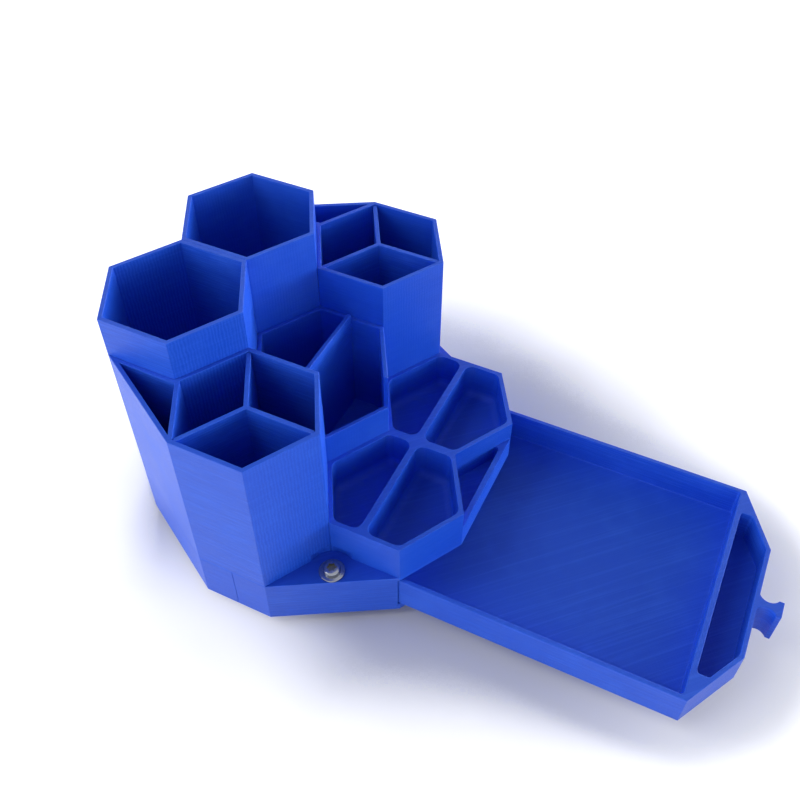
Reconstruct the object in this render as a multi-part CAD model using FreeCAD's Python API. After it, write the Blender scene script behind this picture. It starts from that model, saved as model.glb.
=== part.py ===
import FreeCAD
import Part
import math
import os

# Turning desk organiser: seven hexagonal cells on a twelve-sided base with one drawer.
# Millimetres, +Z up. The origin is on the table, on the turning axis. The drawer opens towards -Y.

# Hexagon lattice
HEX_FLATS = 60.0
HEX_SIDE = HEX_FLATS / math.sqrt(3.0)
HALF_SIDE = HEX_SIDE / 2.0
LATTICE_ROW = HEX_SIDE * 1.5
MID_Y = HEX_SIDE * 2.0
OUT_Y = HEX_SIDE * 2.5
HALF_WIDTH = HEX_FLATS * 1.5
WIDE = HALF_WIDTH * 3.0
TOUCH = 0.01

# Clearances
MODULE_GAP = 0.05
PIECE_GAP = 0.15
SEAM_GAP = 0.1
MOVING_GAP = 0.3
THREAD_GAP = 0.05
RUNNING_GAP = 0.08
HOLE_GAP = 0.25

# Turning foot
PAD_THICKNESS = 1.5
PAD_RADIUS = 66.0
PAD_RECESS = 0.7
FOOT_MARGIN = 4.0
FOOT_RADIUS = PAD_RADIUS + FOOT_MARGIN
FOOT_THICKNESS = 2.7
FOOT_LIP_BOTTOM = PAD_THICKNESS - PAD_RECESS
FOOT_TOP = PAD_THICKNESS + FOOT_THICKNESS
BEARING_GAP = 0.8
BALL_RADIUS = 2.25
BALL_COUNT = 12
BALL_LEVEL = FOOT_TOP + BEARING_GAP / 2.0
BALL_GAP = 0.1
RACE_RADIUS = 48.0
CAGE_HALF_WIDTH = 5.0
CAGE_THICKNESS = 0.5
PIVOT_RADIUS = 8.0
PIVOT_RISE = 2.0
CAP_RADIUS = 14.0
CAP_THICKNESS = 1.2
CAP_RECESS_GAP = 0.5
PIVOT_SCREW_LENGTH = 6.0
PIVOT_SCREW_HEAD = 2.0
PIVOT_NUT_RISE = 4.0
PIVOT_NUT_TOP = PAD_THICKNESS + PIVOT_NUT_RISE
NUT_HEIGHT = 3.2

# Base
BASE_BOTTOM = FOOT_TOP + BEARING_GAP
BASE_HEIGHT = 26.0
BASE_WALL = 2.4
DECK_THICKNESS = 2.2
FLOOR_THICKNESS = 4.3
END_WALL = 4.0
FLOOR_TOP = BASE_BOTTOM + FLOOR_THICKNESS
DECK_TOP = BASE_BOTTOM + BASE_HEIGHT
DECK_BOTTOM = DECK_TOP - DECK_THICKNESS
BOSS_TOP = BASE_BOTTOM + PIVOT_RISE
CAP_TOP = BOSS_TOP + CAP_THICKNESS
CAP_RECESS_FLOOR = BOSS_TOP - MOVING_GAP

# Cells
CELL_WALL = 2.0
CELL_FLOOR = 2.0
DIVIDER = 2.0
STAR_DROP = 0.5
CELL_FLOOR_TOP = DECK_TOP + CELL_FLOOR

# Heights of the rims over the bottom of the base
FRONT_POCKET_HEIGHT = 37.0
BIN_HEIGHT = 47.6
CENTRE_LOW_HEIGHT = 64.0
CENTRE_HEIGHT = 83.5
CENTRE_DIVIDER_HEIGHT = 86.5
SIDE_HEIGHT = 107.0
REAR_HEIGHT = 127.0
FRONT_POCKET_RIM = BASE_BOTTOM + FRONT_POCKET_HEIGHT
BIN_RIM = BASE_BOTTOM + BIN_HEIGHT
CENTRE_LOW_RIM = BASE_BOTTOM + CENTRE_LOW_HEIGHT
CENTRE_RIM = BASE_BOTTOM + CENTRE_HEIGHT
CENTRE_DIVIDER_TOP = BASE_BOTTOM + CENTRE_DIVIDER_HEIGHT
SIDE_RIM = BASE_BOTTOM + SIDE_HEIGHT
REAR_RIM = BASE_BOTTOM + REAR_HEIGHT

# Low bins
BIN_DIVIDER = 3.0
BIN_DIVIDER_SHIFT = 2.2
BIN_CORNER = 4.5
BIN_FLOOR_FILLET = 4.0
FRONT_POCKET_WALL = 2.5
FRONT_POCKET_CORNER = 1.5

# Drawer
DRAWER_TRAVEL = 129.9
DRAWER_PLAY = 0.3
DRAWER_HALF = HEX_FLATS - DRAWER_PLAY
DRAWER_REAR_PLAY = 0.4
DRAWER_REAR = MID_Y - DRAWER_REAR_PLAY
DRAWER_WALL = 2.0
DRAWER_FLOOR = 2.0
DRAWER_LIFT = 0.4
DRAWER_HEAD_GAP = 0.4
DRAWER_SIDE_GAP = 0.7
DRAWER_BOTTOM = FLOOR_TOP + DRAWER_LIFT
DRAWER_TOP = DECK_BOTTOM - DRAWER_HEAD_GAP
DRAWER_ROOM_LOW = DRAWER_BOTTOM + DRAWER_FLOOR
DRAWER_CORNER = 1.5
POCKET_REAR_WALL = 2.5
POCKET_REAR_STEP = 0.5
POCKET_END_LAND = 14.2
POCKET_CORNER = 1.8
PULL_REACH = 10.7
PULL_BAR = 2.3
PULL_HALF_WIDTH = 4.1
PULL_HALF_WAIST = 1.55
PEG_RADIUS = 2.5
PEG_OFFSET = 40.0
PEG_INSET = 6.0
PEG_SLOT_DEPTH = 1.2
PEG_CLOSED_Y = DRAWER_REAR - PEG_INSET
PEG_OPEN_Y = PEG_CLOSED_Y - DRAWER_TRAVEL
CAVITY_HALF = DRAWER_HALF + DRAWER_SIDE_GAP
CAVITY_REAR = DRAWER_REAR + DRAWER_SIDE_GAP

# Deck screws, M4 with a button head
WASHER_RADIUS = 6.0
WASHER_THICKNESS = 1.0
SCREW_CIRCLE = OUT_Y - WASHER_RADIUS
SCREW_ANGLES = (-150.0, -30.0, 90.0)
SCREW_RADIUS = 2.0
SCREW_TIP_INSET = 2.0
SCREW_LENGTH = BASE_HEIGHT + WASHER_THICKNESS - SCREW_TIP_INSET
SCREW_HEAD_RADIUS = 4.0
SCREW_HEAD_HEIGHT = 2.4
SCREW_HEAD_EDGE = 0.9
SOCKET_FLATS = 2.5
SOCKET_DEPTH = 1.3
BOSS_RADIUS = 7.0
RELIEF_BITE = 1.2
RELIEF_RADIUS = (SCREW_CIRCLE - MID_Y) * math.sqrt(3.0) / 2.0 + RELIEF_BITE
RELIEF_HEIGHT = 4.4
NUT_FLATS = 7.0
THIN_NUT_HEIGHT = 2.2
NUT_POCKET_DEPTH = 3.4

# Dowels across the seam of the base
DOWEL_RADIUS = 1.5
DOWEL_LENGTH = 8.0
DOWEL_OFFSET = (CAVITY_HALF + HALF_WIDTH) / 2.0
DOWEL_LEVEL = (FLOOR_TOP + DECK_BOTTOM) / 2.0


# ---------------------------------------------------------------- helpers

def turned(radius, degrees):
    """Point at a radius and an angle from +X."""
    angle = math.radians(degrees)
    return (radius * math.cos(angle), radius * math.sin(angle))


def prism(points, low, high):
    """Upright prism over a plan polygon."""
    corners = [FreeCAD.Vector(x, y, low) for x, y in points]
    outline = Part.makePolygon(corners + [corners[0]])
    return Part.Face(outline).extrude(FreeCAD.Vector(0, 0, high - low))


def block(low_x, high_x, low_y, high_y, low_z, high_z):
    """Box between two corners."""
    corner = FreeCAD.Vector(low_x, low_y, low_z)
    return Part.makeBox(high_x - low_x, high_y - low_y, high_z - low_z, corner)


def rod(x, y, radius, low, high):
    """Upright cylinder."""
    return Part.makeCylinder(radius, high - low, FreeCAD.Vector(x, y, low))


def hex_rod(x, y, flats, low, high):
    """Upright hexagonal bar given across its flats."""
    reach = flats / math.sqrt(3.0)
    corners = [turned(reach, 60.0 * step) for step in range(6)]
    return prism([(x + dx, y + dy) for dx, dy in corners], low, high)


def inset(points, distances):
    """Anticlockwise polygon with each side moved inwards by its own distance."""
    count = len(points)
    if not isinstance(distances, (list, tuple)):
        distances = [distances] * count
    sides = []
    for index in range(count):
        x1, y1 = points[index]
        x2, y2 = points[(index + 1) % count]
        length = math.hypot(x2 - x1, y2 - y1)
        ux = (x2 - x1) / length
        uy = (y2 - y1) / length
        shift = distances[index]
        sides.append((x1 - uy * shift, y1 + ux * shift, ux, uy))
    result = []
    for index in range(count):
        ax, ay, aux, auy = sides[index - 1]
        bx, by, bux, buy = sides[index]
        cross = aux * buy - auy * bux
        along = ((bx - ax) * buy - (by - ay) * bux) / cross
        result.append((ax + aux * along, ay + auy * along))
    return result


def fillet_upright(shape, radius):
    """Round every upright edge of a prism."""
    upright = []
    for edge in shape.Edges:
        start = edge.Vertexes[0].Point
        end = edge.Vertexes[-1].Point
        if abs(start.z - end.z) > TOUCH:
            upright.append(edge)
    return shape.makeFillet(radius, upright)


def fillet_bottom(shape, level, radius):
    """Round every edge that lies at one level."""
    low = []
    for edge in shape.Edges:
        box = edge.BoundBox
        if abs(box.ZMin - level) < TOUCH and abs(box.ZMax - level) < TOUCH:
            low.append(edge)
    return shape.makeFillet(radius, low)


def mirrored(shape):
    """The same shape on the other side of the organiser's middle plane."""
    return shape.mirror(FreeCAD.Vector(0, 0, 0), FreeCAD.Vector(1, 0, 0))


def joined(shapes):
    """One solid from touching shapes."""
    first = shapes[0]
    return first.fuse(shapes[1:]).removeSplitter()


def hexagon(x, y):
    """Lattice cell as six plan corners, its first side facing 60 degrees."""
    corners = [turned(HEX_SIDE, 30.0 + 60.0 * step) for step in range(6)]
    return [(x + dx, y + dy) for dx, dy in corners]


def tube(outline, low, high, wall):
    """Cell with walls of one thickness and a floor."""
    hollow = prism(inset(outline, wall), low + CELL_FLOOR, high)
    return prism(outline, low, high).cut(hollow)


# ---------------------------------------------------------------- plan points

LEFT = (-HEX_FLATS, 0.0)
REAR_LEFT = (-HEX_FLATS / 2.0, LATTICE_ROW)
BIN_LEFT = (-HEX_FLATS / 2.0, -LATTICE_ROW)

HULL = [
    (-HEX_FLATS, -MID_Y),
    (-HEX_FLATS / 2.0, -OUT_Y),
    (HEX_FLATS / 2.0, -OUT_Y),
    (HEX_FLATS, -MID_Y),
    (HALF_WIDTH, -HALF_SIDE),
    (HALF_WIDTH, HALF_SIDE),
    (HEX_FLATS, MID_Y),
    (HEX_FLATS / 2.0, OUT_Y),
    (-HEX_FLATS / 2.0, OUT_Y),
    (-HEX_FLATS, MID_Y),
    (-HALF_WIDTH, HALF_SIDE),
    (-HALF_WIDTH, -HALF_SIDE),
]

SCREW_POINTS = [turned(SCREW_CIRCLE, angle) for angle in SCREW_ANGLES]


def screw_reliefs():
    """Round recesses that let a washer down beside the walls of the cells."""
    top = DECK_TOP + RELIEF_HEIGHT
    return [rod(x, y, RELIEF_RADIUS, DECK_TOP, top) for x, y in SCREW_POINTS]


def without_reliefs(cell):
    """Cell with the washer recesses cut from its outside."""
    for relief in screw_reliefs():
        cell = cell.cut(relief)
    return cell


# ---------------------------------------------------------------- foot

def foot_pad():
    """Rubber disc that grips the table."""
    return rod(0.0, 0.0, PAD_RADIUS, 0.0, PAD_THICKNESS)


def foot_disc():
    """Round foot with a ball groove, a pivot boss and a recess for the pad."""
    disc = rod(0.0, 0.0, FOOT_RADIUS, FOOT_LIP_BOTTOM, FOOT_TOP)
    boss = rod(0.0, 0.0, PIVOT_RADIUS, FOOT_LIP_BOTTOM, BOSS_TOP)
    disc = joined([disc, boss])
    disc = disc.cut(rod(0.0, 0.0, PAD_RADIUS + PIECE_GAP, 0.0, PAD_THICKNESS))
    centre = FreeCAD.Vector(0.0, 0.0, BALL_LEVEL)
    disc = disc.cut(Part.makeTorus(RACE_RADIUS, BALL_RADIUS + BALL_GAP, centre))
    pocket = hex_rod(0.0, 0.0, NUT_FLATS + 2.0 * PIECE_GAP, 0.0, PIVOT_NUT_TOP)
    disc = disc.cut(pocket)
    disc = disc.cut(rod(0.0, 0.0, SCREW_RADIUS + HOLE_GAP, 0.0, BOSS_TOP))
    return disc.cut(pivot_countersink(PIECE_GAP))


def pivot_countersink(gap):
    """Cone of the pivot screw's head, widened by a clearance."""
    low = FreeCAD.Vector(0.0, 0.0, CAP_TOP - PIVOT_SCREW_HEAD)
    head = SCREW_RADIUS + PIVOT_SCREW_HEAD
    return Part.makeCone(SCREW_RADIUS + gap, head + gap, PIVOT_SCREW_HEAD, low)


def bearing_balls():
    """Loose balls that carry the organiser."""
    balls = []
    for step in range(BALL_COUNT):
        x, y = turned(RACE_RADIUS, step * 360.0 / BALL_COUNT)
        balls.append(Part.makeSphere(BALL_RADIUS, FreeCAD.Vector(x, y, BALL_LEVEL)))
    return Part.makeCompound(balls)


def ball_cage():
    """Flat ring that spaces the balls."""
    top = FOOT_TOP + CAGE_THICKNESS
    ring = rod(0.0, 0.0, RACE_RADIUS + CAGE_HALF_WIDTH, FOOT_TOP, top)
    ring = ring.cut(rod(0.0, 0.0, RACE_RADIUS - CAGE_HALF_WIDTH, FOOT_TOP, top))
    for step in range(BALL_COUNT):
        x, y = turned(RACE_RADIUS, step * 360.0 / BALL_COUNT)
        ring = ring.cut(rod(x, y, BALL_RADIUS + PIECE_GAP, FOOT_TOP, top))
    return ring


def pivot_cap():
    """Disc that keeps the base down on the foot."""
    cap = rod(0.0, 0.0, CAP_RADIUS, BOSS_TOP, CAP_TOP)
    return cap.cut(pivot_countersink(PIECE_GAP))


def pivot_screw():
    """Countersunk M4 screw on the turning axis."""
    neck = CAP_TOP - PIVOT_SCREW_HEAD
    shank = rod(0.0, 0.0, SCREW_RADIUS, CAP_TOP - PIVOT_SCREW_LENGTH, neck)
    screw = joined([shank, pivot_countersink(0.0)])
    return screw.cut(hex_rod(0.0, 0.0, SOCKET_FLATS, CAP_TOP - SOCKET_DEPTH, CAP_TOP))


def pivot_nut():
    """M4 nut held in the underside of the foot."""
    low = PIVOT_NUT_TOP - NUT_HEIGHT
    nut = hex_rod(0.0, 0.0, NUT_FLATS, low, PIVOT_NUT_TOP)
    return nut.cut(rod(0.0, 0.0, SCREW_RADIUS + THREAD_GAP, low, PIVOT_NUT_TOP))


# ---------------------------------------------------------------- base

def cavity(grow, low, high):
    """Room for the drawer, open at the front, grown by a wall thickness."""
    half = CAVITY_HALF + grow
    room = block(-half, half, -WIDE, CAVITY_REAR + grow, low, high)
    front = block(-WIDE, WIDE, -WIDE, 0.0, low, high)
    edge = prism(inset(HULL, BASE_WALL - grow), low, high)
    return room.common(joined([front, edge]))


def base_floor():
    """Bottom plate that the drawer runs on."""
    inside = prism(inset(HULL, BASE_WALL + PIECE_GAP), BASE_BOTTOM, FLOOR_TOP)
    half = CAVITY_HALF - PIECE_GAP
    lip = prism(HULL, BASE_BOTTOM, FLOOR_TOP)
    lip = lip.common(block(-half, half, -WIDE, 0.0, BASE_BOTTOM, FLOOR_TOP))
    plate = joined([inside, lip])
    plate = plate.cut(rod(0.0, 0.0, PIVOT_RADIUS + RUNNING_GAP, BASE_BOTTOM, FLOOR_TOP))
    recess = rod(0.0, 0.0, CAP_RADIUS + CAP_RECESS_GAP, CAP_RECESS_FLOOR, FLOOR_TOP)
    plate = plate.cut(recess)
    centre = FreeCAD.Vector(0.0, 0.0, BALL_LEVEL)
    plate = plate.cut(Part.makeTorus(RACE_RADIUS, BALL_RADIUS + MOVING_GAP, centre))
    for side in (-1.0, 1.0):
        plate = plate.cut(peg_slot(side * PEG_OFFSET))
    for x, y in SCREW_POINTS:
        plate = plate.cut(rod(x, y, SCREW_RADIUS + HOLE_GAP, BASE_BOTTOM, FLOOR_TOP))
        pocket_top = BASE_BOTTOM + NUT_POCKET_DEPTH
        pocket = hex_rod(x, y, NUT_FLATS + 2.0 * PIECE_GAP, BASE_BOTTOM, pocket_top)
        plate = plate.cut(pocket)
    return plate


def peg_slot(x):
    """Groove in the floor that a stop peg of the drawer runs in."""
    half = PEG_RADIUS + MOVING_GAP
    low = FLOOR_TOP - PEG_SLOT_DEPTH
    run = block(x - half, x + half, PEG_OPEN_Y, PEG_CLOSED_Y, low, FLOOR_TOP)
    ends = [rod(x, y, half, low, FLOOR_TOP) for y in (PEG_OPEN_Y, PEG_CLOSED_Y)]
    return joined([run] + ends)


def base_shell():
    """Deck with the outer walls, drawer walls, screw bosses and end walls."""
    shell = prism(HULL, BASE_BOTTOM, DECK_TOP)
    shell = shell.cut(cavity(0.0, BASE_BOTTOM, DECK_BOTTOM))
    inner = inset(HULL, BASE_WALL)
    shell = shell.cut(prism(inner, BASE_BOTTOM, FLOOR_TOP))
    hollow = prism(inner, FLOOR_TOP, DECK_BOTTOM)
    hollow = hollow.cut(cavity(BASE_WALL, FLOOR_TOP, DECK_BOTTOM))
    for x, y in SCREW_POINTS:
        hollow = hollow.cut(rod(x, y, BOSS_RADIUS, FLOOR_TOP, DECK_BOTTOM))
    seam = block(-WIDE, WIDE, -END_WALL, END_WALL, FLOOR_TOP, DECK_BOTTOM)
    shell = shell.cut(hollow.cut(seam))
    for x, y in SCREW_POINTS:
        shell = shell.cut(rod(x, y, SCREW_RADIUS + HOLE_GAP, FLOOR_TOP, DECK_TOP))
    for x, y in dowel_points():
        shell = shell.cut(dowel(x, y, PIECE_GAP))
    return shell


def dowel_points():
    """Dowel centres in the end walls, as X and Z."""
    return [(-DOWEL_OFFSET, DOWEL_LEVEL), (DOWEL_OFFSET, DOWEL_LEVEL)]


def dowel(x, level, gap):
    """Dowel across the seam, widened by a clearance."""
    half = DOWEL_LENGTH / 2.0
    start = FreeCAD.Vector(x, -half, level)
    return Part.makeCylinder(DOWEL_RADIUS + gap, DOWEL_LENGTH, start, FreeCAD.Vector(0, 1, 0))


def base_front():
    """Front half of the deck and side walls."""
    half = block(-WIDE, WIDE, -WIDE, -SEAM_GAP, BASE_BOTTOM, DECK_TOP)
    return base_shell().common(half)


def base_rear():
    """Rear half of the deck and side walls."""
    half = block(-WIDE, WIDE, SEAM_GAP, WIDE, BASE_BOTTOM, DECK_TOP)
    return base_shell().common(half)


def base_dowels():
    """Two dowels that line up the halves of the base."""
    return Part.makeCompound([dowel(x, level, 0.0) for x, level in dowel_points()])


# ---------------------------------------------------------------- deck fasteners

def deck_screws():
    """Button-head screws through the notches between the cells."""
    screws = []
    seat = DECK_TOP + WASHER_THICKNESS
    top = seat + SCREW_HEAD_HEIGHT
    for x, y in SCREW_POINTS:
        head = rod(x, y, SCREW_HEAD_RADIUS, seat, top)
        crown = [edge for edge in head.Edges if edge.BoundBox.ZMin > top - TOUCH]
        head = head.makeFillet(SCREW_HEAD_HEIGHT - SCREW_HEAD_EDGE, crown)
        shank = rod(x, y, SCREW_RADIUS, seat - SCREW_LENGTH, seat)
        screw = joined([head, shank])
        screws.append(screw.cut(hex_rod(x, y, SOCKET_FLATS, top - SOCKET_DEPTH, top)))
    return Part.makeCompound(screws)


def deck_washers():
    """Flat washers under the deck screws."""
    washers = []
    top = DECK_TOP + WASHER_THICKNESS
    for x, y in SCREW_POINTS:
        washer = rod(x, y, WASHER_RADIUS, DECK_TOP, top)
        washers.append(washer.cut(rod(x, y, SCREW_RADIUS + PIECE_GAP, DECK_TOP, top)))
    return Part.makeCompound(washers)


def deck_nuts():
    """Thin nuts held in the underside of the floor."""
    nuts = []
    top = BASE_BOTTOM + NUT_POCKET_DEPTH
    low = top - THIN_NUT_HEIGHT
    for x, y in SCREW_POINTS:
        nut = hex_rod(x, y, NUT_FLATS, low, top)
        nuts.append(nut.cut(rod(x, y, SCREW_RADIUS + THREAD_GAP, low, top)))
    return Part.makeCompound(nuts)


# ---------------------------------------------------------------- cells

def side_outline():
    """Plan of the left cell with its closed-in notch, kept clear of its neighbours."""
    corners = hexagon(*LEFT)
    notch = (-HEX_FLATS, MID_Y)
    outline = [corners[0], corners[1], notch, corners[2], corners[3], corners[4], corners[5]]
    shared = MODULE_GAP
    return inset(outline, [shared, shared, 0.0, 0.0, 0.0, shared, shared])


def side_hexagon(depth):
    """Inside of the left cell at a depth from the lattice lines."""
    return inset(hexagon(*LEFT), depth)


def left_cell():
    """Tall left cell and the three-cornered pocket behind it."""
    body = prism(side_outline(), DECK_TOP, SIDE_RIM)
    hollow = prism(side_hexagon(CELL_WALL), CELL_FLOOR_TOP, SIDE_RIM)
    corners = hexagon(*LEFT)
    triangle = [corners[1], (-HEX_FLATS, MID_Y), corners[2]]
    pocket = prism(inset(triangle, [CELL_WALL, CELL_WALL, 0.0]), CELL_FLOOR_TOP, SIDE_RIM)
    return without_reliefs(body.cut(hollow).cut(pocket))


def right_cell():
    """Tall right cell and its pocket, the left one mirrored."""
    return mirrored(left_cell())


def rear_left_cell():
    """Tallest cell at the rear left."""
    shared = MODULE_GAP
    outline = inset(hexagon(*REAR_LEFT), [0.0, 0.0, shared, shared, shared, shared])
    return without_reliefs(tube(outline, DECK_TOP, REAR_RIM, CELL_WALL))


def rear_right_cell():
    """Tallest cell at the rear right, the left one mirrored."""
    return mirrored(rear_left_cell())


def centre_cell():
    """Middle cell, its wall over the left bins cut down."""
    outline = inset(hexagon(0.0, 0.0), MODULE_GAP)
    cell = tube(outline, DECK_TOP, CENTRE_RIM, CELL_WALL)
    inner = inset(outline, CELL_WALL)
    window = [outline[3], outline[4], inner[4], inner[3]]
    return cell.cut(prism(window, CENTRE_LOW_RIM, CENTRE_RIM))


def centre_divider():
    """Upright plate across the middle cell."""
    half = HEX_FLATS / 2.0 - CELL_WALL - PIECE_GAP
    thick = DIVIDER / 2.0
    return block(-half, half, -thick, thick, CELL_FLOOR_TOP, CENTRE_DIVIDER_TOP)


def left_star_divider():
    """Three upright plates that part the left cell."""
    x, y = LEFT
    top = SIDE_RIM - STAR_DROP
    arms = []
    for degrees in (30.0, 150.0, 270.0):
        dx, dy = turned(1.0, degrees)
        reach = HEX_SIDE
        half = DIVIDER / 2.0
        arm = [
            (x + dy * half, y - dx * half),
            (x + dx * reach + dy * half, y + dy * reach - dx * half),
            (x + dx * reach - dy * half, y + dy * reach + dx * half),
            (x - dy * half, y + dx * half),
        ]
        arms.append(prism(arm, CELL_FLOOR_TOP, top))
    star = joined(arms)
    room = prism(side_hexagon(CELL_WALL + PIECE_GAP), CELL_FLOOR_TOP, top)
    return star.common(room)


def right_star_divider():
    """Three upright plates in the right cell, the left ones mirrored."""
    return mirrored(left_star_divider())


def bin_room(side, row):
    """Rounded room of one low bin: part of a hexagon in front of or behind the divider.

    The divider stands a little behind the middle, so the front room is the larger one.
    """
    x, y = BIN_LEFT
    corners = hexagon(x, y)
    half = HEX_FLATS / 2.0
    middle = y + BIN_DIVIDER_SHIFT
    if row > 0:
        outline = [(x + half, middle), corners[0], corners[1], corners[2], (x - half, middle)]
    else:
        outline = [(x - half, middle), corners[3], corners[4], corners[5], (x + half, middle)]
    walls = [CELL_WALL, CELL_WALL, CELL_WALL, CELL_WALL, BIN_DIVIDER / 2.0]
    room = prism(inset(outline, walls), CELL_FLOOR_TOP, BIN_RIM + BIN_CORNER)
    room = fillet_upright(room, BIN_CORNER)
    room = fillet_bottom(room, CELL_FLOOR_TOP, BIN_FLOOR_FILLET)
    if side > 0:
        room = mirrored(room)
    return room


def front_pocket_outline():
    """Three-cornered room between the low bins and the front wall."""
    triangle = [HULL[1], HULL[2], (0.0, -MID_Y)]
    return inset(triangle, [FRONT_POCKET_WALL, 0.0, 0.0])


def low_bins():
    """Two low cells of two bins each with a pocket between them."""
    shared = MODULE_GAP
    left = inset(hexagon(*BIN_LEFT), [shared, shared, 0.0, 0.0, 0.0, 0.0])
    left = prism(left, DECK_TOP, BIN_RIM)
    bridge = prism([HULL[1], HULL[2], (0.0, -MID_Y)], DECK_TOP, FRONT_POCKET_RIM)
    body = joined([left, mirrored(left), bridge])
    for side in (-1, 1):
        for row in (-1, 1):
            body = body.cut(bin_room(side, row))
    pocket = prism(front_pocket_outline(), CELL_FLOOR_TOP, FRONT_POCKET_RIM)
    pocket = fillet_upright(pocket, FRONT_POCKET_CORNER)
    return without_reliefs(body.cut(pocket))


# ---------------------------------------------------------------- drawer

def drawer_body(depth, low, high):
    """The closed drawer's prism, every side moved in by a depth.

    Its front follows the base, and its rear corners are cut back beside the base wall.
    """
    half = DRAWER_HALF - depth
    body = block(-half, half, -WIDE, DRAWER_REAR - depth, low, high)
    front = prism(inset(HULL, depth), low, high)
    front = front.common(block(-WIDE, WIDE, -WIDE, 0.0, low, high))
    rear = prism(inset(HULL, BASE_WALL + DRAWER_SIDE_GAP + depth), low, high)
    rear = rear.common(block(-WIDE, WIDE, 0.0, WIDE, low, high))
    return body.common(joined([front, rear])).removeSplitter()


def drawer_room():
    """Open compartment of the drawer."""
    front = -MID_Y - POCKET_REAR_STEP + POCKET_REAR_WALL
    room = drawer_body(DRAWER_WALL, DRAWER_ROOM_LOW, DRAWER_TOP)
    room = room.common(block(-WIDE, WIDE, front, WIDE, DRAWER_ROOM_LOW, DRAWER_TOP))
    return fillet_upright(room, DRAWER_CORNER)


def drawer_pocket():
    """Long pocket behind the front wall of the drawer."""
    end = DRAWER_HALF - POCKET_END_LAND
    rear = -MID_Y - POCKET_REAR_STEP
    room = drawer_body(DRAWER_WALL, DRAWER_ROOM_LOW, DRAWER_TOP)
    room = room.common(block(-end, end, -WIDE, rear, DRAWER_ROOM_LOW, DRAWER_TOP))
    return fillet_upright(room, POCKET_CORNER)


def drawer_pull():
    """Waisted finger pull as tall as the drawer."""
    face = -OUT_Y
    bar = face - PULL_REACH + PULL_BAR
    tip = face - PULL_REACH
    middle = (face + bar) / 2.0
    wide = PULL_HALF_WIDTH
    root = face + DRAWER_WALL / 2.0
    low = DRAWER_BOTTOM
    right = Part.Arc(
        FreeCAD.Vector(wide, face, low),
        FreeCAD.Vector(PULL_HALF_WAIST, middle, low),
        FreeCAD.Vector(wide, bar, low),
    )
    left = Part.Arc(
        FreeCAD.Vector(-wide, bar, low),
        FreeCAD.Vector(-PULL_HALF_WAIST, middle, low),
        FreeCAD.Vector(-wide, face, low),
    )
    tip_line = Part.makePolygon([
        FreeCAD.Vector(wide, bar, low),
        FreeCAD.Vector(wide, tip, low),
        FreeCAD.Vector(-wide, tip, low),
        FreeCAD.Vector(-wide, bar, low),
    ])
    root_line = Part.makePolygon([
        FreeCAD.Vector(-wide, face, low),
        FreeCAD.Vector(-wide, root, low),
        FreeCAD.Vector(wide, root, low),
        FreeCAD.Vector(wide, face, low),
    ])
    outline = Part.Wire([right.toShape()] + tip_line.Edges + [left.toShape()] + root_line.Edges)
    return Part.Face(outline).extrude(FreeCAD.Vector(0, 0, DRAWER_TOP - low))


def drawer_tray():
    """Drawer with its pull and stop pegs, slid out to the end of its travel."""
    tray = drawer_body(0.0, DRAWER_BOTTOM, DRAWER_TOP)
    peg_bottom = FLOOR_TOP - PEG_SLOT_DEPTH + MOVING_GAP
    peg_top = DRAWER_BOTTOM + DRAWER_FLOOR / 2.0
    pegs = []
    for side in (-1.0, 1.0):
        pegs.append(rod(side * PEG_OFFSET, PEG_CLOSED_Y, PEG_RADIUS, peg_bottom, peg_top))
    tray = joined([tray, drawer_pull()] + pegs)
    tray = tray.cut(drawer_room()).cut(drawer_pocket())
    tray.translate(FreeCAD.Vector(0.0, -DRAWER_TRAVEL, 0.0))
    return tray


# ---------------------------------------------------------------- files

PIECES = [
    foot_pad,
    foot_disc,
    bearing_balls,
    ball_cage,
    pivot_cap,
    pivot_screw,
    pivot_nut,
    base_floor,
    base_front,
    base_rear,
    base_dowels,
    deck_screws,
    deck_washers,
    deck_nuts,
    low_bins,
    centre_cell,
    centre_divider,
    left_cell,
    left_star_divider,
    right_cell,
    right_star_divider,
    rear_left_cell,
    rear_right_cell,
    drawer_tray,
]


def main():
    """Write one STEP file for each piece."""
    os.makedirs("parts", exist_ok=True)
    for piece in PIECES:
        shape = piece()
        shape.exportStep("parts/" + piece.__name__ + ".step")
        box = shape.BoundBox
        print(piece.__name__, len(shape.Solids), shape.isValid(), round(shape.Volume, 1),
              [round(v, 2) for v in (box.XMin, box.XMax, box.YMin, box.YMax, box.ZMin, box.ZMax)])


main()
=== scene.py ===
import math

import bmesh
import bpy
from bpy.props import FloatProperty, FloatVectorProperty, PointerProperty
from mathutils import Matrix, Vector


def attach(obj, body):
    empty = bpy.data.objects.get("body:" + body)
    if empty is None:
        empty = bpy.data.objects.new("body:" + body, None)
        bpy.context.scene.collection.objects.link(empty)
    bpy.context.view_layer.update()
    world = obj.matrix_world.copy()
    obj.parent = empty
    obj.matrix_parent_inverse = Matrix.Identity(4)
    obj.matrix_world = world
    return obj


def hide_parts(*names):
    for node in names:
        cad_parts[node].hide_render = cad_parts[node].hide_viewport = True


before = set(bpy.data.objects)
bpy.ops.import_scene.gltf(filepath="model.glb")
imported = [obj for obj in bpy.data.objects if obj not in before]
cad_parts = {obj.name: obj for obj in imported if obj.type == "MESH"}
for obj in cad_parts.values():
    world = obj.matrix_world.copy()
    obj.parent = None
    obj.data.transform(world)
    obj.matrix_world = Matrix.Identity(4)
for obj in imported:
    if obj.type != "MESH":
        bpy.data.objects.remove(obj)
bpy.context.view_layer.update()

bl_info = {
    "name": "Turning Desk Organiser",
    "version": (1, 0, 0),
    "blender": (4, 5, 0),
    "location": "3D View > Sidebar > Organiser",
    "description": "Finishes a turning desk organiser: cells, drawer, fasteners, foot and stage",
    "category": "Object",
}

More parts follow.
